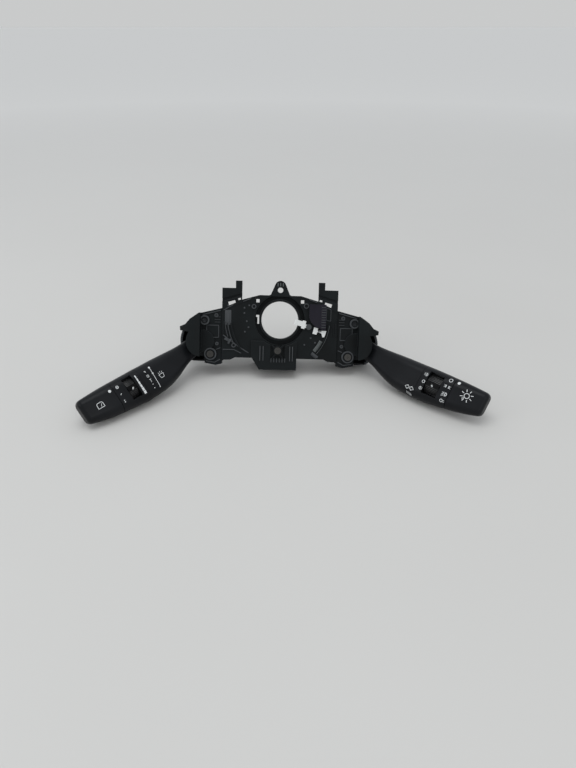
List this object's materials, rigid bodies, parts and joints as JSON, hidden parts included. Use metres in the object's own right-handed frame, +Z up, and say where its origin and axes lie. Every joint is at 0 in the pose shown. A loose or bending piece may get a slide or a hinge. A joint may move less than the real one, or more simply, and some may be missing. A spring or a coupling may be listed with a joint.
{
  "type": "combination stalk switch",
  "caption": "Steering column switch: bored bracket with a module and a curved lever on each side, each lever with a thumb wheel and a turning end knob.",
  "frame": {"origin": "centre of the steering column bore, in the plane of the bracket's front face", "axes": "+X to the light lever's side (the driver's right), +Z up from the bench that the switch rests on, +Y away from the driver; the column axis is raked 26 degrees in the Y-Z plane and points to the driver along -Y and +Z"},
  "size_m": [0.3752, 0.1435, 0.0911],
  "materials": {
    "housing_black": "satin glass-filled nylon",
    "cover_black": "satin",
    "rear_black": "satin",
    "lever_black": "fine satin grain",
    "wheel_gloss": "polished",
    "white_acetal": "smooth",
    "yoke_nylon": "smooth",
    "rod_grey": "smooth",
    "zinc_cast": "die cast",
    "steel": "ground",
    "screw_steel": "zinc plated",
    "board_green": "solder mask",
    "pin_brass": "tinned"
  },
  "bodies": {
    "bracket": {"column_bracket": "housing_black", "cancel_cover": "cover_black", "cancel_pin": "steel", "foot_screw": "screw_steel", "module_screws": "screw_steel", "light_housing": "housing_black", "light_rear_cover": "rear_black", "light_circuit_board": "board_green", "light_connector_pins": "pin_brass", "light_detent_track": "white_acetal", "wiper_housing": "housing_black", "wiper_rear_cover": "rear_black", "wiper_circuit_board": "board_green", "wiper_connector_pins": "pin_brass", "wiper_detent_track": "white_acetal"},
    "light_yoke": {"light_tilt_yoke": "yoke_nylon", "light_hinge_pin": "steel", "light_contact_slider": "pin_brass", "light_detent_spring": "steel"},
    "light_plunger": {"light_detent_plunger": "white_acetal"},
    "light_lever": {"light_lever_root": "zinc_cast", "light_lever_stem": "lever_black", "light_lever_head": "lever_black", "light_core_rod": "rod_grey"},
    "light_wheel": {"light_thumb_wheel": "wheel_gloss"},
    "light_knob": {"light_end_knob": "lever_black"},
    "wiper_yoke": {"wiper_tilt_yoke": "yoke_nylon", "wiper_hinge_pin": "steel", "wiper_contact_slider": "pin_brass", "wiper_detent_spring": "steel"},
    "wiper_plunger": {"wiper_detent_plunger": "white_acetal"},
    "wiper_lever": {"wiper_lever_root": "zinc_cast", "wiper_lever_stem": "lever_black", "wiper_lever_head": "lever_black", "wiper_core_rod": "rod_grey"},
    "wiper_wheel": {"wiper_thumb_wheel": "wheel_gloss"},
    "wiper_knob": {"wiper_end_knob": "lever_black"},
    "cancel_pawl": {"cancel_pawl": "white_acetal"},
    "cancel_link": {"cancel_link": "white_acetal"}
  },
  "joints": [
    {"name": "light_tilt", "type": "hinge", "parent": "bracket", "child": "light_yoke", "pos_m": [0.07719, 0.00227, -0.02956], "axis": [0, -0.8988, 0.4384], "range_deg": [-15, 15]},
    {"name": "light_pull", "type": "hinge", "parent": "light_yoke", "child": "light_lever", "pos_m": [0.07719, 0.00227, -0.02956], "axis": [-0.4368, -0.3943, -0.8085], "range_deg": [-6, 6]},
    {"name": "light_wheel_turn", "type": "hinge", "parent": "light_lever", "child": "light_wheel", "pos_m": [0.14725, -0.06921, -0.037], "axis": [0.7141, -0.6985, -0.0451], "range_deg": [-20, 20]},
    {"name": "light_knob_turn", "type": "hinge", "parent": "light_lever", "child": "light_knob", "pos_m": [0.16489, -0.08647, -0.03811], "axis": [0.7141, -0.6985, -0.0451], "range_deg": [-30, 30]},
    {"name": "light_detent", "type": "slide", "parent": "light_yoke", "child": "light_plunger", "axis": [-0.8996, 0.1915, 0.3926], "range_m": [-0.0015, 0], "stiffness_N_per_m": 1500, "springref_m": 0.002, "deforming": ["light_detent_spring"]},
    {"name": "wiper_tilt", "type": "hinge", "parent": "bracket", "child": "wiper_yoke", "pos_m": [-0.07872, 0.00454, -0.02491], "axis": [0, -0.8988, 0.4384], "range_deg": [-15, 15]},
    {"name": "wiper_pull", "type": "hinge", "parent": "wiper_yoke", "child": "wiper_lever", "pos_m": [-0.07872, 0.00454, -0.02491], "axis": [-0.5255, 0.373, 0.7647], "range_deg": [0, 6], "stiffness_Nm_per_rad": 1, "springref_deg": -8.59},
    {"name": "wiper_wheel_turn", "type": "hinge", "parent": "wiper_lever", "child": "wiper_wheel", "pos_m": [-0.14417, -0.07041, -0.03803], "axis": [-0.6714, -0.7339, -0.1034], "range_deg": [-20, 20]},
    {"name": "wiper_knob_turn", "type": "hinge", "parent": "wiper_lever", "child": "wiper_knob", "pos_m": [-0.16075, -0.08854, -0.04059], "axis": [-0.6714, -0.7339, -0.1034], "range_deg": [-30, 30]},
    {"name": "wiper_detent", "type": "slide", "parent": "wiper_yoke", "child": "wiper_plunger", "axis": [0.8508, 0.2304, 0.4723], "range_m": [-0.0015, 0], "stiffness_N_per_m": 1500, "springref_m": 0.002, "deforming": ["wiper_detent_spring"]},
    {"name": "cancel_pawl_swing", "type": "hinge", "parent": "bracket", "child": "cancel_pawl", "pos_m": [0.02918, -0.00449, -0.00579], "axis": [0, -0.8988, 0.4384], "range_deg": [-12, 12], "stiffness_Nm_per_rad": 0.02},
    {"name": "cancel_link_slide", "type": "slide", "parent": "bracket", "child": "cancel_link", "axis": [-0.9995, 0.0145, 0.0298], "range_m": [0, 0.0015], "stiffness_N_per_m": 400, "springref_m": -0.001}
  ]
}
